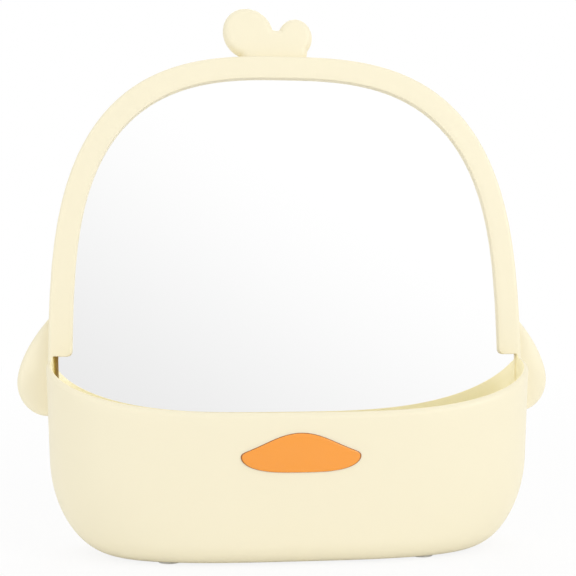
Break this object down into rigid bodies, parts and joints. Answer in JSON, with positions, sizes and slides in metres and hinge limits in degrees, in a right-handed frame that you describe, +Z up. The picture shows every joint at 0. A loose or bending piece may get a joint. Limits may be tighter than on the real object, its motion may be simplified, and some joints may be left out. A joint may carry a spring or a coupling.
{
  "type": "desk mirror with storage bin",
  "caption": "Cream plastic desk mirror with an arched frame, a leaning glass pane and an open storage bin moulded below it, with rounded side wings, a top tuft and an orange beak.",
  "frame": {"origin": "on the table, under the middle of the whole object's bounding box", "axes": "+Z up, -Y towards the person looking into the mirror, +X to that person's right"},
  "size_m": [0.2548, 0.0822, 0.2594],
  "materials": {
    "cream_plastic": "satin",
    "cream_trim": "satin",
    "orange_plastic": "gloss",
    "silvered_glass": "polished",
    "foam": "matte",
    "pad_rubber": "matte",
    "screw_steel": "satin"
  },
  "bodies": {
    "root": {"back_cover": "cream_plastic", "base_screws": "screw_steel", "beak": "orange_plastic", "foam_strip_left": "foam", "foam_strip_middle": "foam", "foam_strip_right": "foam", "front_shell": "cream_plastic", "mirror_pane": "silvered_glass", "pad_front_left": "pad_rubber", "pad_front_right": "pad_rubber", "pad_rear_left": "pad_rubber", "pad_rear_right": "pad_rubber", "tuft": "cream_trim", "wing_left": "cream_trim", "wing_right": "cream_trim"}
  },
  "joints": []
}
